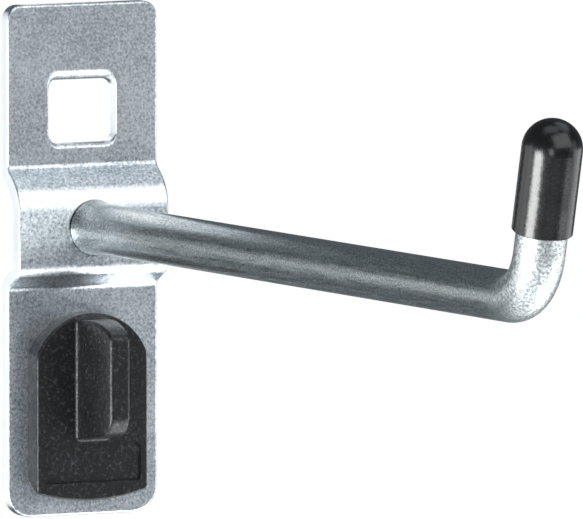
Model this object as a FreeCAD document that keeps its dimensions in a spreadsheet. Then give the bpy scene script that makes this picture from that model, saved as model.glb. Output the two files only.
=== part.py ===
import FreeCAD, Part
import math
import os
import re
import Sketcher
from FreeCAD import Placement, Rotation, Vector

# A tool hook for a sheet-metal panel with square holes: a bent steel back plate with a
# lanced tongue, a round rod riveted to it and turned up at its end, a soft cap on the
# upturned end, and a moulded clip that snaps through the plate into the panel.
# The origin is the centre of the panel hole that takes the clip, on the panel's front
# face. +Z is up, the rod runs towards -Y, and the panel lies behind y = 0.

SIZES = [
    # the panel that the hook is made for
    ("panel_pitch", 38.0, "centre to centre of the panel's holes"),
    ("panel_hole", 10.0, "side of a square hole"),
    ("panel_gauge", 2.0, "thickest panel that the hook takes, paint included"),
    # back plate: one stamped and bent sheet
    ("plate_width", 20.0, "across the plate"),
    ("plate_gauge", 1.5, "sheet thickness of the plate"),
    ("plate_rise", 50.2, "top edge above the clip hole's centre"),
    ("plate_drop", 11.1, "bottom edge below the clip hole's centre"),
    ("top_corner", 1.8, "radius of the two top corners"),
    ("bottom_corner", 3.2, "radius of the two bottom corners"),
    ("edge_roll", 0.3, "rolled front edge left by the blanking punch"),
    # stand-off: the middle of the plate, stepped forward to clear the rivet head
    ("standoff_depth", 3.1, "how far the middle is stepped forward"),
    ("upper_step", 7.08, "upper step's hollow above the rod's axis"),
    ("upper_angle", 50.0, "slope of the upper step, in degrees from upright"),
    ("upper_crown", 5.0, "front radius where the upper step meets the stand-off"),
    ("lower_step", 7.19, "lower step's hollow below the rod's axis"),
    ("lower_angle", 60.0, "slope of the lower step, in degrees from upright"),
    ("lower_crown", 1.8, "front radius where the lower step meets the stand-off"),
    ("step_hollow", 0.9, "front radius where a step meets the flat plate"),
    # window and the tongue lanced out of it
    ("window_width", 9.0, "across the window"),
    ("window_sill", 2.77, "flat left between the upper step and the window"),
    ("window_corner", 1.4, "corner radius of the window"),
    ("side_roll", 0.2, "rolled front edge at the window's sides"),
    ("sill_roll", 0.6, "rolled front edge at the window's bottom"),
    ("lip_land", 0.1, "flat left between the lip's round and the plate's back"),
    ("tongue_width", 6.0, "across the tongue"),
    ("tongue_clearance", 0.45, "tongue's top to the upper panel hole's top edge"),
    ("tongue_slack", 0.1, "thickest panel's back to the tongue's upright leg"),
    ("tongue_length", 7.4, "tongue's underside to the tip of its upright leg"),
    ("tongue_bend", 0.4, "inside radius of the tongue's bends"),
    ("tongue_nose", 1.6, "corner radius of the leg's tip"),
    # rod and its riveted foot
    ("rod_height", 23.6, "rod's axis above the clip hole's centre"),
    ("rod_diameter", 6.0, "bar diameter"),
    ("rod_reach", 110.4, "stand-off's front to the knee of the axis"),
    ("rod_bend", 7.0, "radius of the axis at the bend"),
    ("rod_slant", 14.0, "lean of the upturned end, in degrees from upright"),
    ("rod_upturn", 18.1, "knee of the axis to the rod's cut end"),
    ("rod_chamfer", 0.5, "chamfer of the cut end"),
    ("foot_flare", 0.3, "how far the foot is upset beyond the bar"),
    ("foot_length", 2.4, "length of the upset foot, which swells in an arc"),
    ("foot_break", 0.3, "broken edge of the foot against the plate"),
    ("tenon_diameter", 4.5, "shank through the plate"),
    ("tenon_fit", 0.05, "radial clearance of the shank in its hole"),
    ("rivet_diameter", 6.8, "head formed behind the plate"),
    ("rivet_rise", 1.6, "height of the head"),
    ("rivet_rim", 0.4, "straight rim of the head"),
    ("seat_margin", 0.1, "flat coined round the head, beyond its rim"),
    # soft cap on the upturned end
    ("cap_wall", 0.47, "wall thickness of the sleeve"),
    ("cap_fit", 0.05, "radial clearance between rod and cap"),
    ("cap_length", 13.45, "rim to the top of the dome"),
    ("cap_rim", 0.15, "bevel of the rim's outer edge"),
    # locking clip: flange and grip fin in front of the plate
    ("clip_width", 14.7, "across the flange"),
    ("clip_gauge", 2.6, "thickness of the flange"),
    ("clip_peak", 13.3, "top of the arch above the hole's centre"),
    ("clip_shoulder", 8.4, "arch's springing above the hole's centre"),
    ("clip_foot", 8.05, "bottom corners below the hole's centre"),
    ("clip_belly", 1.1, "how far the bottom edge bows below its corners"),
    ("clip_corner", 0.6, "corner radius at the bottom of the flange"),
    ("spring_corner", 2.5, "radius where the arch springs from the sides"),
    ("undercut_rise", 1.6, "height of the finger undercut at the plate"),
    ("undercut_depth", 2.1, "depth of the finger undercut"),
    ("clip_edge", 0.25, "rounding of the flange's front edge"),
    ("fin_top", 12.65, "fin's root above the hole's centre"),
    ("fin_bottom", 1.8, "fin's root below the hole's centre"),
    ("fin_height", 7.4, "fin's front edge to the flange's face"),
    ("fin_root", 4.2, "fin's thickness at the flange"),
    ("fin_tip", 2.6, "fin's thickness at its front edge"),
    ("brow_level", 2.2, "level part of the fin's top, from the flange"),
    ("brow_drop", 1.6, "fall of the fin's top from there to its front, in an arc"),
    ("chin_slope", 8.0, "rise of the fin's underside towards its front, in degrees"),
    ("fin_brow", 0.9, "radius of the fin's upper front corner"),
    ("fin_chin", 2.6, "radius of the fin's lower front corner"),
    ("fin_edge", 0.45, "rounding along the fin's edges"),
    ("fin_fillet", 0.4, "hollow where the fin's sides meet the flange"),
    ("label_top", 2.5, "recess's top edge below the hole's centre"),
    ("label_width", 13.0, "across the bare recess"),
    ("label_height", 4.5, "height of the bare recess"),
    ("label_depth", 0.35, "depth of the bare recess"),
    ("label_corner", 0.6, "corner radius of the bare recess"),
    # locking clip: square plug with two snap legs behind the plate
    ("plug_width", 9.2, "across the plug, both ways"),
    ("plug_fit", 0.2, "clearance of the plug in the plate's hole, each side"),
    ("plug_corner", 0.5, "corner radius of the plug and of its hole"),
    ("leg_gauge", 1.8, "thickness of a snap leg"),
    ("leg_gap", 0.8, "gap between a leg and the plug's core"),
    ("core_tail", 0.8, "how far the core stands behind the panel"),
    ("barb_reach", 0.8, "how far a barb stands out behind the panel"),
    ("barb_slack", 0.1, "thickest panel's back to the barb's shoulder"),
    ("barb_land", 0.6, "straight flank of a barb"),
    ("barb_ramp", 2.2, "length of a barb's lead-in ramp"),
    ("leg_tip", 0.8, "width left at the tip of a leg"),
]

TOLERANCE = 1e-3
# how far a probe point is drawn in towards the plate's middle
INWARD = 0.98
FULL_TURN = 360

doc = FreeCAD.newDocument("PanelHook")
sheet = doc.addObject("Spreadsheet::Sheet", "Sizes")
for row, (alias, number, meaning) in enumerate(SIZES, start=1):
    sheet.set(f"A{row}", alias)
    sheet.set(f"B{row}", str(number))
    sheet.set(f"C{row}", meaning)
    sheet.setAlias(f"B{row}", alias)
doc.recompute()


def linked(text):
    """Point every size named in an expression at its cell."""
    return re.sub(r"\b[a-z]+(?:_[a-z]+)+\b", lambda word: "Sizes." + word.group(), text)


def amount(text):
    """The present value of an expression, in millimetres or degrees."""
    return float(sheet.evalExpression(linked(text)))


def new_body(name):
    body = doc.addObject("PartDesign::Body", name)
    body.Label = name
    return body


def new_sketch(body, name, plane, offset="0", axis="z"):
    """A sketch on one of the body's own origin planes, shifted along one of its axes."""
    sketch = body.newObject("Sketcher::SketchObject", name)
    for feature in body.Origin.OriginFeatures:
        if feature.Role == plane:
            sketch.AttachmentSupport = [(feature, "")]
    sketch.MapMode = "FlatFace"
    sketch.setExpression(f"AttachmentOffset.Base.{axis}", linked(offset))
    return sketch


def hold(sketch, kind, geometry, point, text):
    """Hold one coordinate of a sketch point to an expression."""
    if text == "0":
        other_axis = -2 if kind == "DistanceX" else -1
        sketch.addConstraint(Sketcher.Constraint("PointOnObject", geometry, point, other_axis))
        return
    rule = Sketcher.Constraint(kind, -1, 1, geometry, point, amount(text))
    sketch.setExpression(f"Constraints[{sketch.addConstraint(rule)}]", linked(text))


def trace(sketch, corners, closed=True):
    """Draw an outline through corners given as expressions (x, y). A corner with two
    more expressions starts an arc round that centre, which ends at the next corner."""
    points = [Vector(amount(corner[0]), amount(corner[1]), 0) for corner in corners]
    count = len(corners) if closed else len(corners) - 1
    ends = []
    for index in range(count):
        start = points[index]
        stop = points[(index + 1) % len(points)]
        if len(corners[index]) == 2:
            piece = sketch.addGeometry(Part.LineSegment(start, stop))
            ends.append((piece, 1, 2))
            continue
        centre = Vector(amount(corners[index][2]), amount(corners[index][3]), 0)
        first, last = [math.atan2(p.y - centre.y, p.x - centre.x) for p in (start, stop)]
        forward = (last - first) % (2 * math.pi) < math.pi
        if not forward:
            first, last = last, first
        circle = Part.Circle(centre, Vector(0, 0, 1), (start - centre).Length)
        piece = sketch.addGeometry(Part.ArcOfCircle(circle, first, last))
        ends.append((piece, 1, 2) if forward else (piece, 2, 1))
    for index in range(count):
        piece, begin, finish = ends[index]
        hold(sketch, "DistanceX", piece, begin, corners[index][0])
        hold(sketch, "DistanceY", piece, begin, corners[index][1])
        if closed or index + 1 < count:
            following = ends[(index + 1) % count]
            joint = Sketcher.Constraint("Coincident", piece, finish, following[0], following[1])
            sketch.addConstraint(joint)
        else:
            hold(sketch, "DistanceX", piece, finish, corners[-1][0])
            hold(sketch, "DistanceY", piece, finish, corners[-1][1])
    for index in range(count):
        if len(corners[index]) == 4:
            chord = points[(index + 1) % len(points)] - points[index]
            if abs(chord.x) >= abs(chord.y):
                hold(sketch, "DistanceY", ends[index][0], 3, corners[index][3])
            else:
                hold(sketch, "DistanceX", ends[index][0], 3, corners[index][2])


def trace_box(sketch, width, bottom, top, corner):
    """A rectangle centred on x = 0 with four rounded corners."""
    outer = f"({width}) / 2"
    inner = f"({width}) / 2 - {corner}"
    low = f"{bottom} + {corner}"
    high = f"{top} - {corner}"
    trace(sketch, [
        (f"-({inner})", bottom), (inner, bottom, inner, low),
        (outer, low), (outer, high, inner, high),
        (inner, top), (f"-({inner})", top, f"-({inner})", high),
        (f"-({outer})", high), (f"-({outer})", low, f"-({inner})", low),
    ])


def trace_circle(sketch, height, diameter):
    """A circle centred on x = 0 at the given height."""
    circle = sketch.addGeometry(Part.Circle(Vector(0, amount(height), 0), Vector(0, 0, 1),
                                            amount(diameter) / 2))
    hold(sketch, "DistanceX", circle, 3, "0")
    hold(sketch, "DistanceY", circle, 3, height)
    rule = sketch.addConstraint(Sketcher.Constraint("Diameter", circle, amount(diameter)))
    sketch.setExpression(f"Constraints[{rule}]", linked(diameter))


def pad(body, name, sketch, length, both_ways=False):
    feature = body.newObject("PartDesign::Pad", name)
    feature.Profile = sketch
    feature.setExpression("Length", linked(length))
    feature.Midplane = both_ways
    doc.recompute()
    checked(body, name)
    return feature


def checked(body, name):
    """Stop at the feature that goes wrong, not at the end."""
    if not body.Shape.isValid() or len(body.Shape.Solids) != 1:
        raise RuntimeError(f"{body.Label} is not one sound solid after {name}")


def cut(body, name, sketch, depth=None, whole=False):
    """A pocket of the given depth, or through everything both ways. It has to remove
    material, and all of its outline times its depth where it lies wholly inside."""
    before = body.Shape.Volume
    feature = body.newObject("PartDesign::Pocket", name)
    feature.Profile = sketch
    if depth is None:
        feature.Type = 1
        feature.Midplane = True
    else:
        feature.setExpression("Length", linked(depth))
    doc.recompute()
    checked(body, name)
    removed = before - body.Shape.Volume
    if removed < TOLERANCE:
        raise RuntimeError(f"{name} removed nothing")
    if whole and abs(removed - Part.Face(sketch.Shape).Area * amount(depth)) > TOLERANCE:
        raise RuntimeError(f"{name} did not remove its whole outline")


def revolve(body, name, sketch, axis, kind="Revolution"):
    feature = body.newObject(f"PartDesign::{kind}", name)
    feature.Profile = sketch
    feature.ReferenceAxis = (sketch, [axis])
    feature.Angle = FULL_TURN
    doc.recompute()
    checked(body, name)


def edges_in(shape, low, high):
    """The numbers of the edges that lie wholly inside a box."""
    found = []
    for number, edge in enumerate(shape.Edges, start=1):
        box = edge.BoundBox
        above = (box.XMin > low[0] - TOLERANCE and box.YMin > low[1] - TOLERANCE
                 and box.ZMin > low[2] - TOLERANCE)
        below = (box.XMax < high[0] + TOLERANCE and box.YMax < high[1] + TOLERANCE
                 and box.ZMax < high[2] + TOLERANCE)
        if above and below:
            found.append(number)
    return found


def soften(body, name, numbers, radius, kind="Fillet"):
    """Round or chamfer edges of the body's last feature."""
    if not numbers:
        raise RuntimeError(f"{name} finds no edge")
    base = body.Tip
    feature = body.newObject(f"PartDesign::{kind}", name)
    feature.Base = (base, [f"Edge{number}" for number in numbers])
    feature.setExpression("Radius" if kind == "Fillet" else "Size", linked(radius))
    doc.recompute()
    checked(body, name)
    return feature


# heights that more than one piece takes from the same sizes
TONGUE_UNDERSIDE = "(panel_pitch + panel_hole / 2 - tongue_clearance - plate_gauge)"
WINDOW_BOTTOM = "(rod_height + upper_step + window_sill)"
STANDOFF_FRONT = "(plate_gauge + standoff_depth)"
CLIP_HOLE = "(plug_width + 2 * plug_fit)"


def back_plate():
    """The sheet's bent section, then its outline, openings, tongue and rolled edges."""
    body = new_body("plate_body")
    gauge = amount("plate_gauge")
    half = amount("plate_width") / 2

    upper = "rod_height + upper_step"
    upper_end = f"{upper} - standoff_depth / tan(upper_angle)"
    upper_shift = "plate_gauge * tan(upper_angle / 2)"
    lower = "rod_height - lower_step"
    lower_end = f"{lower} + standoff_depth / tan(lower_angle)"
    lower_shift = "plate_gauge * tan(lower_angle / 2)"
    section = new_sketch(body, "sheet_section", "YZ_Plane")
    trace(section, [
        ("0", "plate_rise"),
        ("-plate_gauge", "plate_rise"),
        ("-plate_gauge", upper),
        (f"-{STANDOFF_FRONT}", upper_end),
        (f"-{STANDOFF_FRONT}", lower_end),
        ("-plate_gauge", lower),
        ("-plate_gauge", "-plate_drop"),
        ("0", "-plate_drop"),
        ("0", f"{lower} + {lower_shift}"),
        ("-standoff_depth", f"{lower_end} + {lower_shift}"),
        ("-standoff_depth", f"{upper_end} - {upper_shift}"),
        ("0", f"{upper} - {upper_shift}"),
    ])
    pad(body, "bent_sheet", section, "plate_width", both_ways=True)

    bends = [
        ("upper_hollow_front", "-plate_gauge", upper, "step_hollow"),
        ("upper_hollow_back", "0", f"{upper} - {upper_shift}", "step_hollow + plate_gauge"),
        ("upper_crown_front", f"-{STANDOFF_FRONT}", upper_end, "upper_crown"),
        ("upper_crown_back", "-standoff_depth", f"{upper_end} - {upper_shift}",
         "upper_crown - plate_gauge"),
        ("lower_crown_front", f"-{STANDOFF_FRONT}", lower_end, "lower_crown"),
        ("lower_crown_back", "-standoff_depth", f"{lower_end} + {lower_shift}",
         "lower_crown - plate_gauge"),
        ("lower_hollow_front", "-plate_gauge", lower, "step_hollow"),
        ("lower_hollow_back", "0", f"{lower} + {lower_shift}", "step_hollow + plate_gauge"),
    ]
    for name, depth, height, radius in bends:
        y, z = amount(depth), amount(height)
        soften(body, name, edges_in(body.Shape, (-half, y, z), (half, y, z)), radius)

    for name, height, radius in (("top_corners", "plate_rise", "top_corner"),
                                 ("bottom_corners", "-plate_drop", "bottom_corner")):
        z = amount(height)
        numbers = (edges_in(body.Shape, (-half, -gauge, z), (-half, 0, z))
                   + edges_in(body.Shape, (half, -gauge, z), (half, 0, z)))
        soften(body, name, numbers, radius)

    soften(body, "rolled_outline", front_outline(body.Shape, half, gauge), "edge_roll")

    clip_hole = new_sketch(body, "clip_hole_outline", "XZ_Plane")
    trace_box(clip_hole, CLIP_HOLE, f"-{CLIP_HOLE} / 2", f"{CLIP_HOLE} / 2", "plug_corner")
    cut(body, "clip_hole", clip_hole)

    tenon_hole = new_sketch(body, "tenon_hole_outline", "XZ_Plane")
    trace_circle(tenon_hole, "rod_height", "tenon_diameter + 2 * tenon_fit")
    cut(body, "tenon_hole", tenon_hole)
    seat = new_sketch(body, "rivet_seat_outline", "XZ_Plane", offset="standoff_depth")
    trace_circle(seat, "rod_height", "rivet_diameter + 2 * seat_margin")
    cut(body, "rivet_seat", seat, depth="standoff_depth")

    window = new_sketch(body, "window_outline", "XZ_Plane")
    trace_box(window, "window_width", WINDOW_BOTTOM, TONGUE_UNDERSIDE, "window_corner")
    cut(body, "window", window)

    leg_front = "panel_gauge + tongue_slack"
    leg_back = f"{leg_front} + plate_gauge"
    tongue_top = f"{TONGUE_UNDERSIDE} + plate_gauge"
    leg_tip = f"{TONGUE_UNDERSIDE} + tongue_length"
    tongue = new_sketch(body, "tongue_section", "YZ_Plane")
    trace(tongue, [
        ("-plate_gauge / 2", TONGUE_UNDERSIDE),
        (leg_back, TONGUE_UNDERSIDE),
        (leg_back, leg_tip),
        (leg_front, leg_tip),
        (leg_front, tongue_top),
        ("-plate_gauge / 2", tongue_top),
    ])
    pad(body, "tongue", tongue, "tongue_width", both_ways=True)
    side = amount("tongue_width") / 2
    root_z, top_z = amount(TONGUE_UNDERSIDE), amount(tongue_top)
    front_y, back_y = amount(leg_front), amount(leg_back)
    soften(body, "tongue_heel",
           edges_in(body.Shape, (-side, back_y, root_z), (side, back_y, root_z)),
           "tongue_bend + plate_gauge")
    soften(body, "tongue_inside",
           edges_in(body.Shape, (-side, front_y, top_z), (side, front_y, top_z))
           + edges_in(body.Shape, (-side, 0, top_z), (side, 0, top_z)),
           "tongue_bend")
    tip_z = amount(leg_tip)
    soften(body, "tongue_corners",
           edges_in(body.Shape, (-side, front_y, tip_z), (-side, back_y, tip_z))
           + edges_in(body.Shape, (side, front_y, tip_z), (side, back_y, tip_z)),
           "tongue_nose")

    plate = doc.addObject("Part::Fillet", "back_plate")
    plate.Label = "back_plate"
    plate.Base = body
    plate.Edges = lip_edges(body.Shape)
    doc.recompute()
    return plate


def front_outline(shape, half, gauge):
    """The edges of the sheet's front face that run round the plate's outline."""
    top_zone = amount("plate_rise - top_corner")
    bottom_zone = amount("bottom_corner - plate_drop")
    middle_height = amount("rod_height")
    numbers = []
    for number, edge in enumerate(shape.Edges, start=1):
        box = edge.BoundBox
        at_side = box.XLength < TOLERANCE and abs(box.Center.x) > half - TOLERANCE
        at_end = box.ZMin > top_zone - TOLERANCE or box.ZMax < bottom_zone + TOLERANCE
        through_sheet = box.XLength < TOLERANCE and box.ZLength < TOLERANCE
        if through_sheet or not (at_side or at_end):
            continue
        point = edge.valueAt((edge.FirstParameter + edge.LastParameter) / 2)
        behind = Vector(point.x * INWARD, point.y + gauge / 2,
                        middle_height + (point.z - middle_height) * INWARD)
        if shape.isInside(behind, TOLERANCE, False):
            numbers.append(number)
    return numbers


def lip_edges(shape):
    """The window's front edge, with its radius at both ends of every stretch in the order
    of one walk round it: a drawn lip along the top, which fades round the corners into
    barely rolled sides, and a softer roll along the sill."""
    front = -amount("plate_gauge")
    half = amount("window_width") / 2
    top, bottom = amount(TONGUE_UNDERSIDE), amount(WINDOW_BOTTOM)
    radii = {top: amount("plate_gauge - lip_land"), bottom: amount("sill_roll")}
    waiting = edges_in(shape, (-half, front, bottom), (half, front, top))
    here = shape.Edges[waiting[0] - 1].Vertexes[0].Point
    stretches = []
    while waiting:
        number, there = next(
            (n, ends[1 - ends.index(near)])
            for n in waiting
            for ends in [[v.Point for v in shape.Edges[n - 1].Vertexes]]
            for near in ends if near.isEqual(here, TOLERANCE))
        pair = [next((r for z, r in radii.items() if abs(point.z - z) < TOLERANCE),
                     amount("side_roll")) for point in (here, there)]
        stretches.append((number, pair[0], pair[1]))
        waiting.remove(number)
        here = there
    return stretches


def hook_rod():
    """The bent bar, swept along its axis, with its upset foot, tenon and formed head."""
    body = new_body("hook_rod")
    knee = f"(-{STANDOFF_FRONT} - rod_reach)"
    tangent = "(rod_bend * tan((90 - rod_slant) / 2))"
    turn_start = f"{knee} + {tangent}"
    path = new_sketch(body, "rod_axis", "YZ_Plane")
    trace(path, [
        (f"-{STANDOFF_FRONT}", "rod_height"),
        (turn_start, "rod_height", turn_start, "rod_height + rod_bend"),
        (f"{knee} - {tangent} * sin(rod_slant)", f"rod_height + {tangent} * cos(rod_slant)"),
        (f"{knee} - rod_upturn * sin(rod_slant)", "rod_height + rod_upturn * cos(rod_slant)"),
    ], closed=False)
    bar = new_sketch(body, "bar_section", "XZ_Plane", offset=STANDOFF_FRONT)
    trace_circle(bar, "rod_height", "rod_diameter")
    sweep = body.newObject("PartDesign::AdditivePipe", "bent_bar")
    sweep.Profile = bar
    sweep.Spine = (path, ["Edge1", "Edge2", "Edge3"])
    doc.recompute()

    length = (amount("rod_reach + rod_upturn") - 2 * amount(tangent)
              + math.radians(amount("90 - rod_slant")) * amount("rod_bend"))
    expected = math.pi * amount("rod_diameter") ** 2 / 4 * length
    if abs(body.Shape.Volume / expected - 1) > 0.001:
        raise RuntimeError("the bent bar's volume is not its section times its length")

    head_back = "rivet_rise - standoff_depth"
    crown = "(rivet_rise - rivet_rim)"
    dome = f"(((rivet_diameter / 2) ^ 2 + {crown} ^ 2) / (2 * {crown}))"
    swell = "(foot_length - foot_break)"
    swell_arc = f"(({swell} ^ 2 + foot_flare ^ 2) / (2 * foot_flare))"
    rivet = new_sketch(body, "rivet_section", "YZ_Plane", offset="rod_height", axis="y")
    trace(rivet, [
        (f"-{STANDOFF_FRONT} - foot_length", "0"),
        (f"-{STANDOFF_FRONT} - foot_length", "rod_diameter / 2",
         f"-{STANDOFF_FRONT} - foot_length", f"rod_diameter / 2 + {swell_arc}"),
        (f"-{STANDOFF_FRONT} - foot_break", "rod_diameter / 2 + foot_flare"),
        (f"-{STANDOFF_FRONT}", "rod_diameter / 2 + foot_flare - foot_break"),
        (f"-{STANDOFF_FRONT}", "tenon_diameter / 2"),
        ("-standoff_depth", "tenon_diameter / 2"),
        ("-standoff_depth", "rivet_diameter / 2"),
        ("rivet_rim - standoff_depth", "rivet_diameter / 2", f"{head_back} - {dome}", "0"),
        (head_back, "0"),
    ])
    revolve(body, "riveted_foot", rivet, "H_Axis")

    end_y = amount(f"{knee} - rod_upturn * sin(rod_slant)")
    end_z = amount("rod_height + rod_upturn * cos(rod_slant)")
    reach = amount("rod_diameter / 2")
    rise = reach * math.sin(math.radians(amount("rod_slant")))
    rim = edges_in(body.Shape, (-reach, end_y - reach, end_z - rise),
                   (reach, end_y + reach, end_z + rise))
    soften(body, "cut_end", rim, "rod_chamfer", kind="Chamfer")
    return body


def end_cap():
    """A thin sleeve with a solid dome, dipped on a flat-ended pin, turned about its own
    axis and set on the rod's cut end."""
    body = new_body("end_cap")
    inner = "(rod_diameter / 2 + cap_fit)"
    outer = f"({inner} + cap_wall)"
    rim = f"({outer} - cap_length)"
    wall = new_sketch(body, "cap_section", "XZ_Plane")
    trace(wall, [
        (inner, rim),
        (f"{outer} - cap_rim", rim),
        (outer, f"{rim} + cap_rim"),
        (outer, "0", "0", "0"),
        ("0", outer),
        ("0", "cap_fit"),
        (f"{inner} - rod_chamfer", "cap_fit"),
        (inner, "cap_fit - rod_chamfer"),
    ])
    revolve(body, "domed_sleeve", wall, "V_Axis")
    body.Placement = Placement(Vector(0, 0, 0), Rotation(Vector(1, 0, 0), amount("rod_slant")))
    body.setExpression("Placement.Rotation.Angle", linked("rod_slant"))
    body.setExpression("Placement.Base.y", linked(
        f"-{STANDOFF_FRONT} - rod_reach - rod_upturn * sin(rod_slant)"))
    body.setExpression("Placement.Base.z", linked("rod_height + rod_upturn * cos(rod_slant)"))
    doc.recompute()
    return body


def locking_clip():
    """The arched flange with its fin and bare recess, and the plug with two snap legs."""
    body = new_body("locking_clip")
    face = "(plate_gauge + clip_gauge)"

    half = "clip_width / 2"
    arch_rise = "(clip_peak - clip_shoulder)"
    arch = f"(({half}) ^ 2 + {arch_rise} ^ 2) / (2 * {arch_rise})"
    bow = f"((({half}) ^ 2 + clip_belly ^ 2) / (2 * clip_belly))"
    flange = new_sketch(body, "flange_outline", "XZ_Plane", offset="plate_gauge")
    trace(flange, [
        (f"-{half}", "-clip_foot", "0", f"{bow} - clip_foot - clip_belly"),
        (half, "-clip_foot"),
        (half, "clip_shoulder", "0", f"clip_peak - {arch}"),
        (f"-{half}", "clip_shoulder"),
    ])
    pad(body, "flange", flange, "clip_gauge")
    front, back = -amount(face), -amount("plate_gauge")
    wide, tall = amount("clip_width"), amount("clip_peak + clip_foot + clip_belly")
    side = amount(half)
    for name, height, radius in (("flange_corners", "-clip_foot", "clip_corner"),
                                 ("spring_corners", "clip_shoulder", "spring_corner")):
        z = amount(height)
        numbers = (edges_in(body.Shape, (-side, front, z), (-side, back, z))
                   + edges_in(body.Shape, (side, front, z), (side, back, z)))
        soften(body, name, numbers, radius)
    undercut = new_sketch(body, "undercut_section", "YZ_Plane",
                          offset=f"{bow} - clip_foot - clip_belly", axis="y")
    trace(undercut, [
        ("-plate_gauge", f"undercut_rise - {bow}"),
        ("-plate_gauge", f"-undercut_rise - {bow}"),
        ("-plate_gauge - undercut_depth", f"-{bow}"),
    ])
    revolve(body, "finger_undercut", undercut, "H_Axis", kind="Groove")
    soften(body, "flange_edge",
           edges_in(body.Shape, (-wide, front, -tall), (wide, front, tall)), "clip_edge")

    recess = new_sketch(body, "recess_outline", "XZ_Plane", offset=face)
    trace_box(recess, "label_width", "-label_top - label_height", "-label_top",
              "label_corner")
    cut(body, "bare_recess", recess, depth="label_depth", whole=True)

    front_edge = f"(-{face} - fin_height)"
    fin = new_sketch(body, "fin_section", "XY_Plane", offset="-fin_bottom")
    trace(fin, [
        ("-fin_root / 2", f"-{face}"),
        ("-fin_tip / 2", front_edge),
        ("fin_tip / 2", front_edge),
        ("fin_root / 2", f"-{face}"),
    ])
    pad(body, "fin", fin, "fin_top + fin_bottom")
    brow_start = f"(-{face} - brow_level)"
    brow_run = "(fin_height - brow_level)"
    brow_arc = f"(({brow_run} ^ 2 + brow_drop ^ 2) / (2 * brow_drop))"
    brow_end = "fin_top - brow_drop"
    brow = new_sketch(body, "brow_outline", "YZ_Plane")
    trace(brow, [(brow_start, "fin_top", brow_start, f"fin_top - {brow_arc}"),
                 (front_edge, brow_end), (front_edge, "fin_top")])
    cut(body, "arched_brow", brow)
    chin_end = "fin_height * tan(chin_slope) - fin_bottom"
    chin = new_sketch(body, "chin_outline", "YZ_Plane")
    trace(chin, [(f"-{face}", "-fin_bottom"), (front_edge, "-fin_bottom"),
                 (front_edge, chin_end)])
    cut(body, "sloping_chin", chin)

    nose = amount(front_edge)
    tip, root = amount("fin_tip") / 2, amount("fin_root") / 2
    fin_low, fin_high = -amount("fin_bottom"), amount("fin_top")
    for name, height, radius in (("fin_brow_round", brow_end, "fin_brow"),
                                 ("fin_chin_round", chin_end, "fin_chin")):
        z = amount(height)
        soften(body, name, edges_in(body.Shape, (-tip, nose, z), (tip, nose, z)), radius)
    soften(body, "fin_edges",
           [number for number in edges_in(body.Shape, (-root, nose, fin_low),
                                          (root, front, fin_high))
            if body.Shape.Edges[number - 1].BoundBox.YMax < front - TOLERANCE
            and abs(body.Shape.Edges[number - 1].BoundBox.Center.x) > TOLERANCE],
           "fin_edge")
    soften(body, "fin_fillets",
           [number for number in edges_in(body.Shape, (-root, front, fin_low),
                                          (root, front, fin_high))
            if body.Shape.Edges[number - 1].BoundBox.XLength < TOLERANCE],
           "fin_fillet")

    core = new_sketch(body, "core_section", "XY_Plane")
    core_half = "(plug_width / 2 - leg_gauge - leg_gap)"
    trace(core, [
        (f"-{core_half}", "-plate_gauge"),
        (core_half, "-plate_gauge"),
        (core_half, "panel_gauge + core_tail"),
        (f"-{core_half}", "panel_gauge + core_tail"),
    ])
    pad(body, "plug_core", core, "plug_width", both_ways=True)

    shoulder = "(panel_gauge + barb_slack)"
    leg_end = f"{shoulder} + barb_land + barb_ramp"
    leg = new_sketch(body, "leg_section", "XY_Plane")
    trace(leg, [
        ("plug_width / 2 - leg_gauge", "-plate_gauge"),
        ("plug_width / 2", "-plate_gauge"),
        ("plug_width / 2", shoulder),
        ("plug_width / 2 + barb_reach", shoulder),
        ("plug_width / 2 + barb_reach", f"{shoulder} + barb_land"),
        ("plug_width / 2 - leg_gauge + leg_tip", leg_end),
        ("plug_width / 2 - leg_gauge", leg_end),
    ])
    snap = pad(body, "snap_leg", leg, "plug_width", both_ways=True)
    pair = body.newObject("PartDesign::Mirrored", "snap_legs")
    pair.Originals = [snap]
    pair.MirrorPlane = (leg, ["V_Axis"])
    body.Tip = pair
    doc.recompute()

    outer = amount("plug_width") / 2
    leg_end_y = amount(shoulder)
    corners = []
    for x in (-outer, outer):
        for z in (-outer, outer):
            corners += edges_in(body.Shape, (x, back, z), (x, leg_end_y, z))
    soften(body, "plug_corners", corners, "plug_corner")
    return body


pieces = [back_plate(), hook_rod(), end_cap(), locking_clip()]

for item in doc.Objects:
    if "Invalid" in item.State or "Error" in item.State:
        raise RuntimeError(f"{item.Name} did not build: {item.State}")
for piece in pieces:
    if piece.Shape.isNull() or not piece.Shape.isValid():
        raise RuntimeError(f"{piece.Label} has no sound shape")
    if len(piece.Shape.Solids) != 1:
        raise RuntimeError(f"{piece.Label} is not one solid")

os.makedirs("parts", exist_ok=True)
for piece in pieces:
    piece.Shape.exportStep(f"parts/{piece.Label}.step")
    box = piece.Shape.BoundBox
    print(piece.Label, "volume", round(piece.Shape.Volume, 2), "mm3, size",
          round(box.XLength, 2), round(box.YLength, 2), round(box.ZLength, 2))
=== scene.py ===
"""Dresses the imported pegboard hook: zinc-plated steel, a vinyl cap and a moulded clip, over a
light table in a small photo studio, with the camera at the photograph's angle."""

import math
from collections import namedtuple

import bpy
from bpy.props import FloatProperty, FloatVectorProperty, PointerProperty
from mathutils import Matrix, Vector

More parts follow.
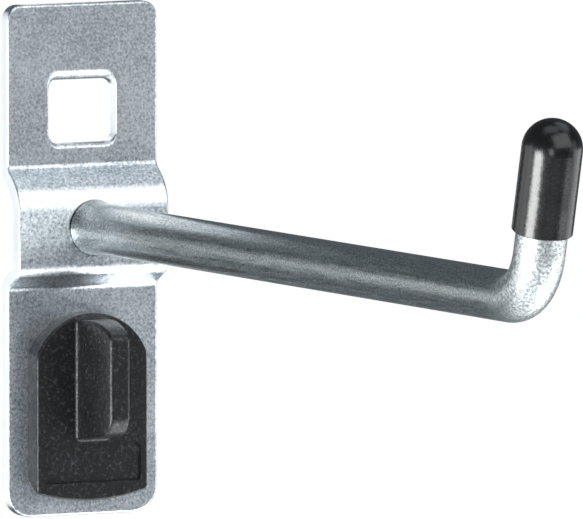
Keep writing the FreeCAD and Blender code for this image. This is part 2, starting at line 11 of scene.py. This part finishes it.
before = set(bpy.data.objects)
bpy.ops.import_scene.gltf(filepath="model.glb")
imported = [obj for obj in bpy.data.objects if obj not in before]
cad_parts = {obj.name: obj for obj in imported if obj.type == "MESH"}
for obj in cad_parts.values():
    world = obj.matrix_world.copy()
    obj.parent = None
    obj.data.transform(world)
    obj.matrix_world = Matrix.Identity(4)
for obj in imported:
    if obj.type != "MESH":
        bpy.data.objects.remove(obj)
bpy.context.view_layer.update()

bl_info = {
    "name": "Pegboard hook dresser",
    "version": (1, 0, 0),
    "blender": (4, 5, 0),
    "location": "3D View > Sidebar > Hook",
    "description": "Finishes the hook's four pieces and sets up its studio",
    "category": "Object",
}

MILLIMETRE = 0.001

# the image that the framing is worked out for, in pixels
IMAGE_WIDTH = 583

# stretches of a noise's values: the wide one holds nearly all of them, and the crisp one,
# closer to their middle, gives grains with clearer edges
WIDE_STRETCH = {"From Min": 0.3, "From Max": 0.7}
CRISP_STRETCH = {"From Min": 0.4, "From Max": 0.6}

# index of refraction of PVC, and of polyamide
VINYL_IOR = 1.53
POLYAMIDE_IOR = 1.53


def linear(code):
    """An sRGB hex colour such as "8C9AA3" as linear red, green, blue and an opaque 1."""
    channels = [int(code[i:i + 2], 16) / 255 for i in (0, 2, 4)]
    return tuple(c / 12.92 if c <= 0.04045 else ((c + 0.055) / 1.055) ** 2.4
                 for c in channels) + (1.0,)


def colour(name, code, text):
    """A colour that a user can pick, with its default given as sRGB hex."""
    return FloatVectorProperty(name=name, description=text, subtype="COLOR", size=4,
                               min=0.0, max=1.0, default=linear(code))


def length(name, millimetres, text):
    """A length that a user can change, with its default given in millimetres."""
    return FloatProperty(name=name, description=text, unit="LENGTH", precision=5,
                         min=0.0, default=millimetres * MILLIMETRE)


def offset(name, millimetres, text):
    """A place along an axis that a user can change, with its default in millimetres."""
    return FloatProperty(name=name, description=text, unit="LENGTH", precision=5,
                         default=millimetres * MILLIMETRE)


def node(tree, kind, inputs=None, **settings):
    """Adds a node, applies its settings, and fills its inputs with sockets or plain values."""
    made = tree.nodes.new(kind)
    for name, value in settings.items():
        setattr(made, name, value)
    for key, value in (inputs or {}).items():
        if isinstance(value, bpy.types.NodeSocket):
            tree.links.new(value, made.inputs[key])
        else:
            made.inputs[key].default_value = value
    return made


def new_material(name):
    """An empty node material, its tree, and its object coordinates, which are in metres."""
    material = bpy.data.materials.new(name)
    material.use_nodes = True
    tree = material.node_tree
    tree.nodes.clear()
    place = node(tree, "ShaderNodeTexCoord").outputs["Object"]
    return material, tree, place


def dress(name, material):
    """Gives every face of a CAD node the one material."""
    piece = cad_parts[name]
    piece.data.materials.clear()
    piece.data.materials.append(material)


def grained_zinc(tree, place, grain, settings):
    """The sheet's zinc: fine grains on broad clouds, with bright nicks and dark pits."""
    cloud = node(tree, "ShaderNodeTexNoise",
                 {"Vector": place, "Scale": 1.0 / settings.sheet_cloud, "Detail": 2.0,
                  "Roughness": 0.55}).outputs["Fac"]
    by_grain = node(tree, "ShaderNodeMapRange",
                    {"Value": grain, **CRISP_STRETCH, "To Max": 0.65}).outputs["Result"]
    by_cloud = node(tree, "ShaderNodeMapRange",
                    {"Value": cloud, **WIDE_STRETCH, "To Max": 0.35}).outputs["Result"]
    tone = node(tree, "ShaderNodeMath", {0: by_grain, 1: by_cloud},
                operation="ADD").outputs["Value"]
    zinc = node(tree, "ShaderNodeMix",
                {"Factor": tone, "A": settings.zinc_shade, "B": settings.zinc_light},
                data_type="RGBA").outputs["Result"]
    # one noise gives both: its highest values are the nicks and its lowest the pits
    speck = node(tree, "ShaderNodeTexNoise",
                 {"Vector": place, "Scale": 1.0 / settings.nick_size, "Detail": 1.0,
                  "Roughness": 0.3}).outputs["Fac"]
    nick = node(tree, "ShaderNodeMapRange",
                {"Value": speck, "From Min": 0.6, "From Max": 0.74,
                 "To Max": 0.7}).outputs["Result"]
    nicked = node(tree, "ShaderNodeMix", {"Factor": nick, "A": zinc, "B": settings.nick_shine},
                  data_type="RGBA").outputs["Result"]
    pit = node(tree, "ShaderNodeMapRange",
               {"Value": speck, "From Min": 0.26, "From Max": 0.4, "To Min": 0.6,
                "To Max": 0.0}).outputs["Result"]
    return node(tree, "ShaderNodeMix", {"Factor": pit, "A": nicked, "B": settings.pit_shade},
                data_type="RGBA").outputs["Result"]


def painted_highlight(tree, height, zinc, settings):
    """Paints a highlight along the upper bend's crown: the colour is pulled towards the sheet's
    light tone in a band there, so the grain is faint in it.
    """
    above = node(tree, "ShaderNodeMath", {0: height, 1: settings.highlight_height},
                 operation="SUBTRACT").outputs["Value"]
    away = node(tree, "ShaderNodeMath", {0: above}, operation="ABSOLUTE").outputs["Value"]
    band = node(tree, "ShaderNodeMapRange",
                {"Value": away, "From Min": settings.highlight_inner,
                 "From Max": settings.highlight_outer, "To Min": 0.75, "To Max": 0.0},
                interpolation_type="SMOOTHSTEP").outputs["Result"]
    return node(tree, "ShaderNodeMix", {"Factor": band, "A": zinc, "B": settings.zinc_light},
                data_type="RGBA").outputs["Result"]


def painted_crease_shade(tree, place, zinc, settings):
    """Paints shade into the crease round the rod's foot: the sheet's colour turns dark in a
    thin ring there.
    """
    flat = node(tree, "ShaderNodeVectorMath", {0: place, 1: (1.0, 0.0, 1.0)},
                operation="MULTIPLY").outputs["Vector"]
    from_axis = node(tree, "ShaderNodeVectorMath",
                     {0: flat, 1: (0.0, 0.0, settings.axis_height)},
                     operation="DISTANCE").outputs["Value"]
    unshaded = node(tree, "ShaderNodeMapRange",
                 {"Value": from_axis, "From Min": settings.crease_inner,
                  "From Max": settings.crease_outer}).outputs["Result"]
    return node(tree, "ShaderNodeMix", {"Factor": unshaded, "A": settings.crease_painted_shade, "B": zinc},
                data_type="RGBA").outputs["Result"]


def leaning_face(tree, height, out_at, back_at, rise, under=None):
    """A normal for a face that stands out by the rise at the height out_at and runs back
    smoothly to the height back_at. It is added to the normal under it, where there is one."""
    out = node(tree, "ShaderNodeMapRange",
               {"Value": height, "From Min": out_at, "From Max": back_at, "To Min": 1.0,
                "To Max": 0.0}, interpolation_type="SMOOTHSTEP").outputs["Result"]
    inputs = {"Height": out, "Distance": rise}
    if under is not None:
        inputs["Normal"] = under
    return node(tree, "ShaderNodeBump", inputs).outputs["Normal"]


def sprung_back(tree, height, settings):
    """The bends run out slowly, as spring-back leaves them: the stand-off's face leans back
    below its upper bend, and the flat below the lower bend leans forward."""
    face = leaning_face(tree, height, settings.lean_bottom, settings.lean_top,
                        settings.lean_rise)
    return leaning_face(tree, height, settings.run_out_top, settings.run_out_bottom,
                        settings.run_out_rise, face)


def zinc_plated_sheet(settings):
    """Steel sheet, stamped, then barrel plated with bright zinc and blue passivate: a cool
    silver with a fine grain from the etched steel, and small bright nicks from the barrel.
    Its edges are sheared: torn rough, so the zinc on them is matt and pale."""
    material, tree, place = new_material("zinc_plated_steel_sheet")
    height = node(tree, "ShaderNodeSeparateXYZ", {"Vector": place}).outputs["Z"]
    grain = node(tree, "ShaderNodeTexNoise",
                 {"Vector": place, "Scale": 1.0 / settings.sheet_grain, "Detail": 3.0,
                  "Roughness": 0.75}).outputs["Fac"]
    zinc = grained_zinc(tree, place, grain, settings)
    # painted highlight: a lighter band along the upper bend's crown
    zinc = painted_highlight(tree, height, zinc, settings)
    # painted shade: a dark ring in the crease round the rod's foot
    zinc = painted_crease_shade(tree, place, zinc, settings)
    # the sheared edges are the faces that look left and right
    facing = node(tree, "ShaderNodeTexCoord").outputs["Normal"]
    across = node(tree, "ShaderNodeSeparateXYZ", {"Vector": facing}).outputs["X"]
    sideways = node(tree, "ShaderNodeMath", {0: across}, operation="ABSOLUTE").outputs["Value"]
    sheared = node(tree, "ShaderNodeMapRange",
                   {"Value": sideways, "From Min": 0.75, "From Max": 0.95}).outputs["Result"]
    surface = node(tree, "ShaderNodeMix",
                   {"Factor": sheared, "A": zinc, "B": settings.sheared_edge},
                   data_type="RGBA").outputs["Result"]
    metal = node(tree, "ShaderNodeMapRange",
                 {"Value": sheared, "To Min": 1.0, "To Max": 0.3}).outputs["Result"]
    satin = node(tree, "ShaderNodeMapRange",
                 {"Value": grain, **WIDE_STRETCH, "To Min": 0.38,
                  "To Max": 0.3}).outputs["Result"]
    rough = node(tree, "ShaderNodeMix", {"Factor": sheared, "A": satin, "B": 0.8},
                 data_type="FLOAT").outputs["Result"]
    bump = node(tree, "ShaderNodeBump",
                {"Height": grain, "Distance": settings.grain_height,
                 "Normal": sprung_back(tree, height, settings)}).outputs["Normal"]
    shader = node(tree, "ShaderNodeBsdfPrincipled",
                  {"Base Color": surface, "Metallic": metal, "Roughness": rough,
                   "Normal": bump})
    node(tree, "ShaderNodeOutputMaterial", {"Surface": shader.outputs["BSDF"]})
    return material


def zinc_plated_bar(settings):
    """Cold drawn steel bar, bent, then barrel plated with bright zinc: fine lines along the
    straight, drawn coarser than they are so that they show, and a coarse orange peel where
    the bend has stretched the skin."""
    material, tree, place = new_material("zinc_plated_drawn_bar")
    squeeze = settings.line_width / settings.line_length
    along = node(tree, "ShaderNodeMapping",
                 {"Vector": place, "Scale": (1.0, squeeze, 1.0)}).outputs["Vector"]
    line = node(tree, "ShaderNodeTexNoise",
                {"Vector": along, "Scale": 1.0 / settings.line_width, "Detail": 3.0,
                 "Roughness": 0.55}).outputs["Fac"]
    grain = node(tree, "ShaderNodeTexNoise",
                 {"Vector": place, "Scale": 1.0 / settings.bar_grain, "Detail": 3.0,
                  "Roughness": 0.7}).outputs["Fac"]
    peel = node(tree, "ShaderNodeTexNoise",
                {"Vector": place, "Scale": 1.0 / settings.peel_size, "Detail": 2.0,
                 "Roughness": 0.7}).outputs["Fac"]
    depth = node(tree, "ShaderNodeSeparateXYZ", {"Vector": place}).outputs["Y"]
    bent = node(tree, "ShaderNodeMapRange",
                {"Value": depth, "From Min": settings.bend_start,
                 "From Max": settings.bend_full},
                interpolation_type="SMOOTHSTEP").outputs["Result"]
    skin = node(tree, "ShaderNodeMix", {"Factor": bent, "A": line, "B": peel},
                data_type="FLOAT").outputs["Result"]
    # the tone follows the grain on the straight, and the orange peel round the bend
    contrast = {"From Min": 0.38, "From Max": 0.62}
    straight_tone = node(tree, "ShaderNodeMapRange",
                         {"Value": grain, **contrast, "To Min": 0.05,
                          "To Max": 0.95}).outputs["Result"]
    bend_tone = node(tree, "ShaderNodeMapRange",
                     {"Value": peel, **contrast, "To Max": 0.9}).outputs["Result"]
    tone = node(tree, "ShaderNodeMix", {"Factor": bent, "A": straight_tone, "B": bend_tone},
                data_type="FLOAT").outputs["Result"]
    zinc = node(tree, "ShaderNodeMix",
                {"Factor": tone, "A": settings.bar_shade, "B": settings.bar_light},
                data_type="RGBA").outputs["Result"]
    straight_satin = node(tree, "ShaderNodeMapRange",
                          {"Value": skin, **WIDE_STRETCH, "To Min": 0.36,
                           "To Max": 0.22}).outputs["Result"]
    bend_satin = node(tree, "ShaderNodeMapRange",
                      {"Value": skin, **WIDE_STRETCH, "To Min": 0.45,
                       "To Max": 0.3}).outputs["Result"]
    rough = node(tree, "ShaderNodeMix", {"Factor": bent, "A": straight_satin, "B": bend_satin},
                 data_type="FLOAT").outputs["Result"]
    # the grain roughens the lines and the orange peel alike
    relief = node(tree, "ShaderNodeMath", {0: skin, 1: grain},
                  operation="MULTIPLY").outputs["Value"]
    rise = node(tree, "ShaderNodeMix",
                {"Factor": bent, "A": settings.line_height, "B": settings.peel_height},
                data_type="FLOAT").outputs["Result"]
    bump = node(tree, "ShaderNodeBump", {"Height": relief, "Distance": rise}).outputs["Normal"]
    shader = node(tree, "ShaderNodeBsdfPrincipled",
                  {"Base Color": zinc, "Metallic": 1.0, "Roughness": rough, "Normal": bump})
    node(tree, "ShaderNodeOutputMaterial", {"Surface": shader.outputs["BSDF"]})
    return material


def dipped_vinyl(settings):
    """Soft PVC, dip moulded: a semi-gloss black skin with a slow wave left by the dip. Its fine
    grain is drawn coarser than it is, so that it shows."""
    material, tree, place = new_material("dip_moulded_black_vinyl")
    wave = node(tree, "ShaderNodeTexNoise",
                {"Vector": place, "Scale": 1.0 / settings.dip_wave, "Detail": 1.0,
                 "Roughness": 0.55}).outputs["Fac"]
    grain = node(tree, "ShaderNodeTexNoise",
                 {"Vector": place, "Scale": 1.0 / settings.vinyl_grain, "Detail": 2.0,
                  "Roughness": 0.55}).outputs["Fac"]
    tone = node(tree, "ShaderNodeMapRange", {"Value": wave, **WIDE_STRETCH}).outputs["Result"]
    black = node(tree, "ShaderNodeMix",
                 {"Factor": tone, "A": settings.vinyl_shade, "B": settings.vinyl_light},
                 data_type="RGBA").outputs["Result"]
    rough = node(tree, "ShaderNodeMapRange",
                 {"Value": grain, **WIDE_STRETCH, "To Min": 0.2,
                  "To Max": 0.28}).outputs["Result"]
    slow = node(tree, "ShaderNodeBump",
                {"Height": wave, "Distance": settings.wave_height}).outputs["Normal"]
    fine = node(tree, "ShaderNodeBump",
                {"Height": grain, "Distance": settings.vinyl_grain_height,
                 "Normal": slow}).outputs["Normal"]
    shader = node(tree, "ShaderNodeBsdfPrincipled",
                  {"Base Color": black, "Roughness": rough, "IOR": VINYL_IOR, "Normal": fine})
    node(tree, "ShaderNodeOutputMaterial", {"Surface": shader.outputs["BSDF"]})
    return material


def moulded_plastic(settings):
    """Black polyamide, injection moulded in a spark-eroded tool: a satin skin with an even
    fine texture. The texture is drawn a little coarser than it is, so that it shows."""
    material, tree, place = new_material("moulded_black_polyamide")
    texture = node(tree, "ShaderNodeTexNoise",
                   {"Vector": place, "Scale": 1.0 / settings.spark_grain, "Detail": 2.0,
                    "Roughness": 0.7}).outputs["Fac"]
    flow = node(tree, "ShaderNodeTexNoise",
                {"Vector": place, "Scale": 1.0 / settings.flow_size, "Detail": 2.0,
                 "Roughness": 0.55}).outputs["Fac"]
    tone = node(tree, "ShaderNodeMapRange", {"Value": flow, **WIDE_STRETCH}).outputs["Result"]
    plain = node(tree, "ShaderNodeMix",
                 {"Factor": tone, "A": settings.clip_shade, "B": settings.clip_light},
                 data_type="RGBA").outputs["Result"]
    # handling rubs the peaks paler; the hollows lie in their shade and gleam less
    rubbed = node(tree, "ShaderNodeMapRange",
                  {"Value": texture, "From Min": 0.56, "From Max": 0.72}).outputs["Result"]
    black = node(tree, "ShaderNodeMix",
                 {"Factor": rubbed, "A": plain, "B": settings.rubbed_peak},
                 data_type="RGBA").outputs["Result"]
    gleam = node(tree, "ShaderNodeMapRange",
                 {"Value": texture, **CRISP_STRETCH, "To Min": 0.34,
                  "To Max": 0.5}).outputs["Result"]
    rough = node(tree, "ShaderNodeMapRange",
                 {"Value": texture, **WIDE_STRETCH, "To Min": 0.38,
                  "To Max": 0.28}).outputs["Result"]
    bump = node(tree, "ShaderNodeBump",
                {"Height": texture, "Distance": settings.spark_height}).outputs["Normal"]
    shader = node(tree, "ShaderNodeBsdfPrincipled",
                  {"Base Color": black, "Roughness": rough, "IOR": POLYAMIDE_IOR,
                   "Specular IOR Level": gleam, "Normal": bump})
    node(tree, "ShaderNodeOutputMaterial", {"Surface": shader.outputs["BSDF"]})
    return material


def lit_acrylic(settings):
    """The opal acrylic sheet of a light table: matt white, and lit evenly from below."""
    material, tree, place = new_material("opal_acrylic")
    cloud = node(tree, "ShaderNodeTexNoise",
                 {"Vector": place, "Scale": 1.0 / settings.acrylic_cloud, "Detail": 2.0,
                  "Roughness": 0.55}).outputs["Fac"]
    tone = node(tree, "ShaderNodeMapRange", {"Value": cloud, **WIDE_STRETCH}).outputs["Result"]
    white = node(tree, "ShaderNodeMix",
                 {"Factor": tone, "A": settings.acrylic_shade, "B": settings.acrylic_light},
                 data_type="RGBA").outputs["Result"]
    shader = node(tree, "ShaderNodeBsdfPrincipled",
                  {"Base Color": white, "Roughness": 0.6, "Emission Color": white,
                   "Emission Strength": settings.acrylic_glow})
    node(tree, "ShaderNodeOutputMaterial", {"Surface": shader.outputs["BSDF"]})
    return material


class HookSteel(bpy.types.PropertyGroup):
    """Colours and grain of the plate and the rod."""
    zinc_shade: colour("Sheet, dark", "959FA7", "Darker grains of the plated sheet")
    zinc_light: colour("Sheet, light", "EDF3F7", "Lighter grains of the plated sheet")
    nick_shine: colour("Nicks", "FAFCFD", "Small bright nicks from the plating barrel")
    pit_shade: colour("Pits", "6A747B", "Small dark pits left by the etch")
    sheet_grain: length("Sheet grain", 0.36, "Width of a grain in the sheet's surface")
    sheet_cloud: length("Sheet cloud", 7.0, "Width of the broad mottling")
    nick_size: length("Nick", 0.32, "Spacing of the nicks and pits")
    grain_height: length("Grain height", 0.012, "Height of the sheet's grain")
    sheared_edge: colour("Sheared edge", "C9CFD3", "Matt zinc on the sheet's sheared edges")
    # painted shade in the crease round the rod's foot: its colour, the rod's axis, and the
    # radii over which it fades out
    crease_painted_shade: colour("Crease", "1C2226", "Thin zinc in the crease round the rod's foot")
    axis_height: length("Rod's axis", 23.6, "Height of the rod's axis, in Z")
    crease_inner: length("Crease, inner", 3.2, "Radius to which the crease is fully dark")
    crease_outer: length("Crease, outer", 3.45, "Radius at which the sheet is clean again")
    # the band of painted highlight along the upper bend's crown: its middle and its two half
    # widths
    highlight_height: length("Burnish", 27.1, "Middle of the burnished band, in Z")
    highlight_inner: length("Burnish, inner", 0.3, "Half of the band that is most burnished")
    highlight_outer: length("Burnish, outer", 1.6, "Half of the band with its fading edges")
    lean_bottom: length("Lean's bottom", 19.5, "Where the stand-off's face is out most, in Z")
    lean_top: length("Lean's top", 27.0, "Where that face has run back, in Z")
    lean_rise: length("Lean's rise", 0.5, "How far that face runs back")
    run_out_bottom: length("Run-out's bottom", 6.0, "Where the lower flat is flat again, in Z")
    run_out_top: length("Run-out's top", 16.4, "Where the lower bend ends, in Z")
    run_out_rise: length("Run-out's rise", 0.52, "How far the flat stands out under the bend")
    bar_shade: colour("Bar, dark", "828A8C", "Darker grains of the plated bar")
    bar_light: colour("Bar, light", "E0E5E6", "Lighter grains of the plated bar")
    line_width: length("Drawing line width", 0.3, "Across one drawing line")
    line_length: length("Drawing line length", 7.0, "Along one drawing line")
    line_height: length("Line height", 0.012, "Height of the drawing lines")
    bar_grain: length("Bar grain", 0.25, "Width of a grain in the bar's surface")
    peel_size: length("Orange peel", 0.32, "Width of a grain of the stretched skin")
    peel_height: length("Orange peel height", 0.05, "Height of the stretched skin's grain")
    bend_start: offset("Bend starts", -106.0, "Where the orange peel begins, in Y")
    bend_full: offset("Bend full", -112.0, "Where the orange peel is full, in Y")


class HookBlacks(bpy.types.PropertyGroup):
    """Colours and grain of the cap and the clip."""
    vinyl_shade: colour("Vinyl, dark", "0A0B0C", "Darker part of the cap's skin")
    vinyl_light: colour("Vinyl, light", "111315", "Lighter part of the cap's skin")
    dip_wave: length("Dip wave", 5.0, "Width of the slow wave left by the dip")
    wave_height: length("Wave height", 0.08, "Height of the slow wave")
    vinyl_grain: length("Vinyl grain", 0.4, "Width of the skin's fine grain")
    vinyl_grain_height: length("Vinyl grain height", 0.014, "Height of the fine grain")
    clip_shade: colour("Clip, dark", "0B0C0E", "Darker part of the clip's skin")
    clip_light: colour("Clip, light", "121316", "Lighter part of the clip's skin")
    rubbed_peak: colour("Rubbed peaks", "383A3E", "Peaks of the texture, rubbed paler")
    spark_grain: length("Spark texture", 0.4, "Width of a grain of the moulded texture")
    spark_height: length("Spark texture height", 0.045, "Height of the moulded texture")
    flow_size: length("Flow marks", 4.0, "Width of the faint flow marks")


class HookStudio(bpy.types.PropertyGroup):
    """Camera, floor and light. The camera's place is the one that best fits the corners of the
    plate and its window and the ends of the rod."""
    azimuth: FloatProperty(name="Azimuth", subtype="ANGLE", default=math.radians(-27.52),
                           description="Camera round the hook, 0 looks along +Y")
    elevation: FloatProperty(name="Elevation", subtype="ANGLE", default=math.radians(4.95),
                             description="Camera above the horizon")
    distance: length("Distance", 2075.0, "Camera to the point it looks at")
    scale: FloatProperty(name="Pixels per millimetre", default=8.372, min=0.1,
                         description="Scale of the image at the point looked at")
    target: FloatVectorProperty(name="Looks at", subtype="XYZ", size=3, unit="LENGTH",
                                default=(0.0225616, -0.0121619, 0.0194314),
                                description="The point at the middle of the image")
    floor_drop: length("Floor", 520.0, "Light table below the origin")
    floor_left: offset("Floor, left", -900.0, "Left edge of the light table, in X")
    floor_right: offset("Floor, right", 1100.0, "Right edge of the light table, in X")
    floor_front: offset("Floor, front", -850.0, "Front edge of the light table, in Y")
    floor_rear: offset("Floor, rear", 220.0, "Rear edge of the light table, in Y")
    acrylic_shade: colour("Acrylic, dark", "ECEDEE", "Darker clouds of the opal sheet")
    acrylic_light: colour("Acrylic, light", "F5F6F7", "Lighter clouds of the opal sheet")
    acrylic_cloud: length("Acrylic cloud", 60.0, "Width of the opal sheet's clouds")
    acrylic_glow: FloatProperty(name="Acrylic glow", default=0.9, min=0.0,
                                description="Brightness of the light table")
    surround: colour("Surround", "5E6468", "What the metal mirrors between the lights")
    backdrop: colour("Backdrop", "FFFFFF", "What the camera sees behind the hook")


class HookOperator:
    """What the operators share."""
    bl_options = {"REGISTER", "UNDO"}


class HOOK_OT_back_plate(HookOperator, bpy.types.Operator):
    """Give the back plate its zinc-plated sheet"""
    bl_idname = "hook.back_plate"
    bl_label = "Back plate"

    def execute(self, context):
        dress("back_plate", zinc_plated_sheet(context.scene.hook_steel))
        return {"FINISHED"}


class HOOK_OT_rod(HookOperator, bpy.types.Operator):
    """Give the rod its zinc-plated drawn bar"""
    bl_idname = "hook.rod"
    bl_label = "Rod"

    def execute(self, context):
        dress("hook_rod", zinc_plated_bar(context.scene.hook_steel))
        return {"FINISHED"}


class HOOK_OT_end_cap(HookOperator, bpy.types.Operator):
    """Give the end cap its dipped vinyl"""
    bl_idname = "hook.end_cap"
    bl_label = "End cap"

    def execute(self, context):
        dress("end_cap", dipped_vinyl(context.scene.hook_blacks))
        return {"FINISHED"}


class HOOK_OT_clip(HookOperator, bpy.types.Operator):
    """Give the locking clip its moulded plastic"""
    bl_idname = "hook.clip"
    bl_label = "Locking clip"

    def execute(self, context):
        dress("locking_clip", moulded_plastic(context.scene.hook_blacks))
        return {"FINISHED"}


# azimuth and elevation are seen from the hook, in degrees, and the lengths are in metres
Softbox = namedtuple("Softbox", "name azimuth elevation distance width height radiance code")
SOFTBOXES = (
    Softbox("low_box_left", -70, -17, 0.54, 0.28, 0.24, 18.0, "FFFFFF"),
    Softbox("tall_box_left", -106, -8, 0.7, 0.18, 0.5, 2.0, "FFFFFF"),
    Softbox("box_by_camera", -28, -6, 1.2, 0.25, 0.35, 5.0, "FFFFFF"),
    Softbox("low_panel_front", -5, -34, 1.0, 0.5, 0.28, 0.6, "FFFFFF"),
    Softbox("low_box_front_right", 54, -49, 0.4, 0.38, 0.42, 2.1, "FFFFFF"),
    Softbox("window_front_right", 13, 31, 1.0, 1.1, 0.86, 1.9, "FFFFFF"),
    Softbox("panel_right", 52, 6, 1.0, 0.6, 0.5, 0.8, "F7FAFF"),
    Softbox("top_right", 88, 60, 1.0, 0.7, 0.5, 1.0, "F2F7FC"),
    Softbox("overhead", -30, 76, 1.0, 0.7, 0.5, 1.1, "FFFFFF"),
    Softbox("low_box_right", 80, -11, 0.89, 0.8, 0.3, 2.2, "FFFFFF"),
    Softbox("panel_left_behind", -130, -6, 0.9, 0.5, 0.4, 1.2, "FFFFFF"),
    Softbox("card_behind_window", -149, 32, 0.0445, 0.02, 0.026, 1.7, "FFFFFF"),
)


def direction(azimuth, elevation):
    """Unit vector from the hook; azimuth 0 is the front, -Y, and grows towards +X."""
    return Vector((math.sin(azimuth) * math.cos(elevation),
                   -math.cos(azimuth) * math.cos(elevation),
                   math.sin(elevation)))


class HOOK_OT_studio(HookOperator, bpy.types.Operator):
    """Set up the floor, the surround, the softboxes and the camera"""
    bl_idname = "hook.studio"
    bl_label = "Studio"

    def execute(self, context):
        studio = context.scene.hook_studio
        self.lay_floor(context, studio)
        self.hang_surround(context, studio)
        for softbox in SOFTBOXES:
            self.place_softbox(context, studio, softbox)
        self.place_camera(context, studio)
        context.scene.view_settings.view_transform = "Standard"
        return {"FINISHED"}

    def lay_floor(self, context, studio):
        """A light table well below the hook."""
        left, right = studio.floor_left, studio.floor_right
        front, rear = studio.floor_front, studio.floor_rear
        mesh = bpy.data.meshes.new("light_table")
        corners = [(left, front), (right, front), (right, rear), (left, rear)]
        mesh.from_pydata([(x, y, -studio.floor_drop) for x, y in corners], [], [(0, 1, 2, 3)])
        floor = bpy.data.objects.new("light_table", mesh)
        context.collection.objects.link(floor)
        mesh.materials.append(lit_acrylic(studio))

    def hang_surround(self, context, studio):
        """Soft grey for the metal to mirror, and plain white behind the hook."""
        world = bpy.data.worlds.new("studio_surround")
        world.use_nodes = True
        context.scene.world = world
        tree = world.node_tree
        tree.nodes.clear()
        seen = node(tree, "ShaderNodeLightPath").outputs["Is Camera Ray"]
        grey = node(tree, "ShaderNodeBackground",
                    {"Color": studio.surround}).outputs["Background"]
        white = node(tree, "ShaderNodeBackground",
                     {"Color": studio.backdrop}).outputs["Background"]
        both = node(tree, "ShaderNodeMixShader", {0: seen, 1: grey, 2: white})
        node(tree, "ShaderNodeOutputWorld", {"Surface": both.outputs["Shader"]})

    def place_softbox(self, context, studio, softbox):
        """A lamp that faces the hook. The camera sees it only mirrored in the pieces."""
        light = bpy.data.lights.new(softbox.name, "AREA")
        light.shape = "RECTANGLE"
        light.size = softbox.width
        light.size_y = softbox.height
        # the power of a flat, even lamp is its radiance times pi times its area
        light.energy = softbox.radiance * math.pi * softbox.width * softbox.height
        light.color = linear(softbox.code)[:3]
        lamp = bpy.data.objects.new(softbox.name, light)
        context.collection.objects.link(lamp)
        towards = direction(math.radians(softbox.azimuth), math.radians(softbox.elevation))
        lamp.location = Vector(studio.target) + towards * softbox.distance
        lamp.rotation_euler = towards.to_track_quat("Z", "Y").to_euler()
        lamp.visible_camera = False

    def place_camera(self, context, studio):
        """A camera that looks at the target, with its lens worked out from the scale."""
        camera = bpy.data.cameras.new("photo_camera")
        width_seen = IMAGE_WIDTH / studio.scale * MILLIMETRE
        camera.lens = camera.sensor_width * studio.distance / width_seen
        # the light table ends well within three times the distance
        camera.clip_end = 3 * studio.distance
        back = direction(studio.azimuth, studio.elevation)
        right = Vector((-back.y, back.x, 0)).normalized()
        up = back.cross(right)
        stand = bpy.data.objects.new("photo_camera", camera)
        context.collection.objects.link(stand)
        turn = Matrix((right, up, back)).transposed().to_4x4()
        place = Vector(studio.target) + back * studio.distance
        stand.matrix_world = Matrix.Translation(place) @ turn
        context.scene.camera = stand


class HOOK_PT_panel(bpy.types.Panel):
    """The hook's pieces and its studio"""
    bl_idname = "HOOK_PT_panel"
    bl_label = "Pegboard hook"
    bl_space_type = "VIEW_3D"
    bl_region_type = "UI"
    bl_category = "Hook"

    def draw(self, context):
        for operator in OPERATORS:
            self.layout.operator(operator.bl_idname)
        for group in GROUPS:
            settings = getattr(context.scene, group)
            box = self.layout.box()
            for name in settings.bl_rna.properties.keys():
                if name not in ("rna_type", "name"):
                    box.prop(settings, name)


GROUPS = {"hook_steel": HookSteel, "hook_blacks": HookBlacks, "hook_studio": HookStudio}
OPERATORS = (HOOK_OT_back_plate, HOOK_OT_rod, HOOK_OT_end_cap, HOOK_OT_clip, HOOK_OT_studio)


def register():
    for group in GROUPS.values():
        bpy.utils.register_class(group)
    for name, group in GROUPS.items():
        setattr(bpy.types.Scene, name, PointerProperty(type=group))
    for operator in OPERATORS:
        bpy.utils.register_class(operator)
    bpy.utils.register_class(HOOK_PT_panel)


def unregister():
    bpy.utils.unregister_class(HOOK_PT_panel)
    for operator in reversed(OPERATORS):
        bpy.utils.unregister_class(operator)
    for name in reversed(GROUPS):
        delattr(bpy.types.Scene, name)
    for group in reversed(GROUPS.values()):
        bpy.utils.unregister_class(group)


def main():
    register()
    bpy.ops.hook.back_plate()
    bpy.ops.hook.rod()
    bpy.ops.hook.end_cap()
    bpy.ops.hook.clip()
    bpy.ops.hook.studio()


if __name__ == "__main__":
    main()
